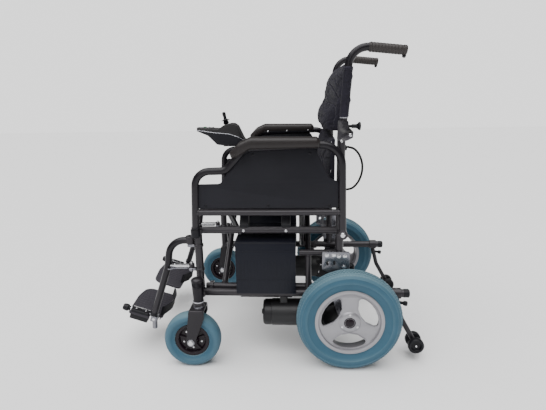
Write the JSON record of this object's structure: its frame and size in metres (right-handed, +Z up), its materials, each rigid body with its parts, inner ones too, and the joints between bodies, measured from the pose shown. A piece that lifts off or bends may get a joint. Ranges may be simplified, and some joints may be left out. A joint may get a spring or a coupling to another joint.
{
  "type": "folding power wheelchair",
  "caption": "Cross-brace folding electric wheelchair with gear motors on the rear wheels, front casters, swing-away leg rests, flip-back armrests, fold-down back and a joystick controller.",
  "frame": {"origin": "on the floor, in the middle of the chair's length and width", "axes": "+X towards the rear, -X the way the chair faces, +Y towards its right side, +Z up"},
  "size_m": [0.968, 0.656, 0.9562],
  "materials": {
    "frame_black": "black powder coat, half gloss",
    "zinc": "bright zinc plate",
    "tyre_blue": "blue-grey tyre rubber with a fine block tread",
    "rim_silver": "cast and painted silver, satin",
    "black_plastic": "moulded black",
    "pad_brown": "soft moulded polyurethane, brownish black",
    "skirt_grey": "flat sheet, dark blue-grey",
    "grip_rubber": "dark grey ribbed rubber",
    "footplate_grey": "grained grey moulding",
    "nylon": "black woven nylon, padded",
    "motor_black": "die cast housing, painted black",
    "battery_black": "ribbed black moulding",
    "control_grey": "charcoal moulding",
    "button_green": "dull green",
    "cord_black": "black sheath"
  },
  "bodies": {
    "left_frame": {"left_side_frame": "frame_black", "left_motor_plate": "zinc", "left_gear_motor": "motor_black", "left_battery_box": "battery_black", "back_upholstery_lower": "nylon", "cable_loop": "cord_black"},
    "brace_a": {"cross_brace_a": "frame_black", "seat_upholstery": "nylon"},
    "brace_b": {"cross_brace_b": "frame_black"},
    "right_frame": {"right_side_frame": "frame_black", "right_motor_plate": "zinc", "right_gear_motor": "motor_black", "right_battery_box": "battery_black"},
    "left_wheel": {"left_drive_tyre": "tyre_blue", "left_drive_wheel": "rim_silver"},
    "right_wheel": {"right_drive_tyre": "tyre_blue", "right_drive_wheel": "rim_silver"},
    "left_caster": {"left_caster_fork": "frame_black"},
    "right_caster": {"right_caster_fork": "frame_black"},
    "left_caster_wheel": {"left_caster_tyre": "tyre_blue", "left_caster_hub": "black_plastic"},
    "right_caster_wheel": {"right_caster_tyre": "tyre_blue", "right_caster_hub": "black_plastic"},
    "left_clutch": {"left_clutch_lever": "black_plastic"},
    "right_clutch": {"right_clutch_lever": "black_plastic"},
    "left_anti_tip": {"left_anti_tip_arm": "frame_black"},
    "right_anti_tip": {"right_anti_tip_arm": "frame_black"},
    "left_rollers": {"left_anti_tip_wheels": "black_plastic"},
    "right_rollers": {"right_anti_tip_wheels": "black_plastic"},
    "left_hanger": {"left_hanger_tube": "frame_black"},
    "right_hanger": {"right_hanger_tube": "frame_black"},
    "left_latch": {"left_hanger_latch": "zinc"},
    "right_latch": {"right_hanger_latch": "zinc"},
    "left_rod": {"left_footplate_rod": "frame_black"},
    "right_rod": {"right_footplate_rod": "frame_black"},
    "left_tread": {"left_footplate": "footplate_grey", "left_heel_loop": "nylon"},
    "right_tread": {"right_footplate": "footplate_grey", "right_heel_loop": "nylon"},
    "left_armrest": {"left_armrest_tube": "frame_black", "left_armrest_pad": "pad_brown", "left_skirt_panel": "skirt_grey"},
    "right_armrest": {"right_armrest_tube": "frame_black", "right_armrest_pad": "pad_brown", "right_skirt_panel": "skirt_grey", "controller_bracket": "black_plastic", "controller_housing": "control_grey", "controller_panel": "control_grey"},
    "left_cane": {"left_upper_cane": "frame_black", "left_push_grip": "grip_rubber", "back_upholstery_upper": "nylon"},
    "right_cane": {"right_upper_cane": "frame_black", "right_push_grip": "grip_rubber"},
    "left_release": {"left_back_release_knob": "black_plastic"},
    "right_release": {"right_back_release_knob": "black_plastic"},
    "gimbal": {"joystick_gimbal": "black_plastic"},
    "stick": {"joystick": "black_plastic"},
    "power": {"power_button": "button_green"},
    "horn": {"horn_button": "black_plastic"},
    "rocker": {"speed_rocker": "black_plastic"}
  },
  "joints": [
    {"name": "frame_fold", "type": "hinge", "parent": "left_frame", "child": "brace_a", "pos_m": [-0.0105, -0.206, 0.226], "axis": [1, 0, 0], "range_deg": [0, 33.3], "deforming": ["seat_upholstery", "back_upholstery_upper", "back_upholstery_lower"]},
    {"name": "brace_b_turn", "type": "hinge", "parent": "brace_a", "child": "brace_b", "pos_m": [-0.0105, 0, 0.352], "axis": [1, 0, 0], "range_deg": [-67, 0]},
    {"name": "right_frame_turn", "type": "hinge", "parent": "brace_b", "child": "right_frame", "pos_m": [-0.0105, 0.206, 0.226], "axis": [1, 0, 0], "range_deg": [0, 33.5]},
    {"name": "left_wheel_turn", "type": "hinge", "parent": "left_frame", "child": "left_wheel", "pos_m": [0.244, -0.294, 0.159], "axis": [0, 1, 0], "continuous": true},
    {"name": "right_wheel_turn", "type": "hinge", "parent": "right_frame", "child": "right_wheel", "pos_m": [0.244, 0.294, 0.159], "axis": [0, 1, 0], "continuous": true},
    {"name": "left_caster_swivel", "type": "hinge", "parent": "left_frame", "child": "left_caster", "pos_m": [-0.213, -0.29, 0.201], "axis": [0, 0, 1], "continuous": true},
    {"name": "right_caster_swivel", "type": "hinge", "parent": "right_frame", "child": "right_caster", "pos_m": [-0.213, 0.29, 0.201], "axis": [0, 0, 1], "continuous": true},
    {"name": "left_caster_wheel_turn", "type": "hinge", "parent": "left_caster", "child": "left_caster_wheel", "pos_m": [-0.237, -0.29, 0.088], "axis": [0, 1, 0], "continuous": true},
    {"name": "right_caster_wheel_turn", "type": "hinge", "parent": "right_caster", "child": "right_caster_wheel", "pos_m": [-0.237, 0.29, 0.088], "axis": [0, 1, 0], "continuous": true},
    {"name": "left_clutch_release", "type": "hinge", "parent": "left_frame", "child": "left_clutch", "pos_m": [0.256, -0.207, 0.195], "axis": [0, 1, 0], "range_deg": [0, 25]},
    {"name": "right_clutch_release", "type": "hinge", "parent": "right_frame", "child": "right_clutch", "pos_m": [0.256, 0.207, 0.195], "axis": [0, 1, 0], "range_deg": [0, 25]},
    {"name": "left_anti_tip_flip", "type": "hinge", "parent": "left_frame", "child": "left_anti_tip", "pos_m": [0.394, -0.232, 0.217], "axis": [1, 0, 0], "range_deg": [0, 180]},
    {"name": "right_anti_tip_flip", "type": "hinge", "parent": "right_frame", "child": "right_anti_tip", "pos_m": [0.394, 0.232, 0.217], "axis": [-1, 0, 0], "range_deg": [0, 180]},
    {"name": "left_rollers_turn", "type": "hinge", "parent": "left_anti_tip", "child": "left_rollers", "pos_m": [0.459, -0.232, 0.049], "axis": [0, 1, 0], "continuous": true},
    {"name": "right_rollers_turn", "type": "hinge", "parent": "right_anti_tip", "child": "right_rollers", "pos_m": [0.459, 0.232, 0.049], "axis": [0, 1, 0], "continuous": true},
    {"name": "left_hanger_swing", "type": "hinge", "parent": "left_frame", "child": "left_hanger", "pos_m": [-0.242, -0.232, 0.306], "axis": [0, 0, 1], "range_deg": [0, 90]},
    {"name": "right_hanger_swing", "type": "hinge", "parent": "right_frame", "child": "right_hanger", "pos_m": [-0.242, 0.232, 0.306], "axis": [0, 0, -1], "range_deg": [0, 90]},
    {"name": "left_latch_turn", "type": "hinge", "parent": "left_hanger", "child": "left_latch", "pos_m": [-0.302, -0.232, 0.306], "axis": [0, 0, 1], "range_deg": [0, 20], "stiffness_Nm_per_rad": 0.3},
    {"name": "right_latch_turn", "type": "hinge", "parent": "right_hanger", "child": "right_latch", "pos_m": [-0.302, 0.232, 0.306], "axis": [0, 0, -1], "range_deg": [0, 20], "stiffness_Nm_per_rad": 0.3},
    {"name": "left_rod_turn", "type": "hinge", "parent": "left_hanger", "child": "left_rod", "pos_m": [-0.456, -0.219, 0.149], "axis": [0.9511, 0, -0.309], "range_deg": [0, 90]},
    {"name": "right_rod_turn", "type": "hinge", "parent": "right_hanger", "child": "right_rod", "pos_m": [-0.456, 0.219, 0.149], "axis": [-0.9511, 0, 0.309], "range_deg": [0, 90]},
    {"name": "left_footplate_flip", "type": "hinge", "parent": "left_rod", "child": "left_tread", "pos_m": [-0.456, -0.219, 0.149], "axis": [-0.9511, 0, 0.309], "range_deg": [-85, 0], "deforming": ["left_heel_loop"]},
    {"name": "right_footplate_flip", "type": "hinge", "parent": "right_rod", "child": "right_tread", "pos_m": [-0.456, 0.219, 0.149], "axis": [0.9511, 0, -0.309], "range_deg": [-85, 0], "deforming": ["right_heel_loop"]},
    {"name": "left_armrest_flip", "type": "hinge", "parent": "left_frame", "child": "left_armrest", "pos_m": [0.222, -0.263, 0.418], "axis": [0, -1, 0], "range_deg": [-100, 0]},
    {"name": "right_armrest_flip", "type": "hinge", "parent": "right_frame", "child": "right_armrest", "pos_m": [0.222, 0.263, 0.418], "axis": [0, -1, 0], "range_deg": [-100, 0]},
    {"name": "left_back_fold", "type": "hinge", "parent": "left_frame", "child": "left_cane", "pos_m": [0.24, -0.232, 0.706], "axis": [0, 1, 0], "range_deg": [0, 100]},
    {"name": "right_back_fold", "type": "hinge", "parent": "right_frame", "child": "right_cane", "pos_m": [0.24, 0.232, 0.706], "axis": [0, 1, 0], "range_deg": [0, 100]},
    {"name": "left_back_release", "type": "slide", "parent": "left_cane", "child": "left_release", "axis": [1, 0, 0], "range_m": [0, 0.008], "stiffness_N_per_m": 400},
    {"name": "right_back_release", "type": "slide", "parent": "right_cane", "child": "right_release", "axis": [1, 0, 0], "range_m": [0, 0.008], "stiffness_N_per_m": 400},
    {"name": "joystick_fore_aft", "type": "hinge", "parent": "right_armrest", "child": "gimbal", "pos_m": [-0.194, 0.285, 0.694], "axis": [0, 1, 0], "range_deg": [-15, 15], "stiffness_Nm_per_rad": 0.4},
    {"name": "joystick_sideways", "type": "hinge", "parent": "gimbal", "child": "stick", "pos_m": [-0.194, 0.285, 0.694], "axis": [0.9781, 0, 0.2079], "range_deg": [-15, 15], "stiffness_Nm_per_rad": 0.4},
    {"name": "power_button_press", "type": "slide", "parent": "right_armrest", "child": "power", "axis": [0, 0, 1], "range_m": [-0.0015, 0], "stiffness_N_per_m": 400},
    {"name": "horn_button_press", "type": "slide", "parent": "right_armrest", "child": "horn", "axis": [0, 0, 1], "range_m": [-0.0015, 0], "stiffness_N_per_m": 400},
    {"name": "speed_rocker_tilt", "type": "hinge", "parent": "right_armrest", "child": "rocker", "pos_m": [-0.259, 0.285, 0.694], "axis": [0, 1, 0], "range_deg": [-8, 8], "stiffness_Nm_per_rad": 0.05}
  ],
  "couplings": [
    {"joint": "brace_b_turn", "follows": "frame_fold", "ratio": -2},
    {"joint": "right_frame_turn", "follows": "frame_fold", "ratio": 1},
    {"joint": "left_rod_turn", "follows": "frame_fold", "ratio": 2.65},
    {"joint": "right_rod_turn", "follows": "frame_fold", "ratio": 2.65},
    {"joint": "right_back_fold", "follows": "left_back_fold", "ratio": 1}
  ]
}
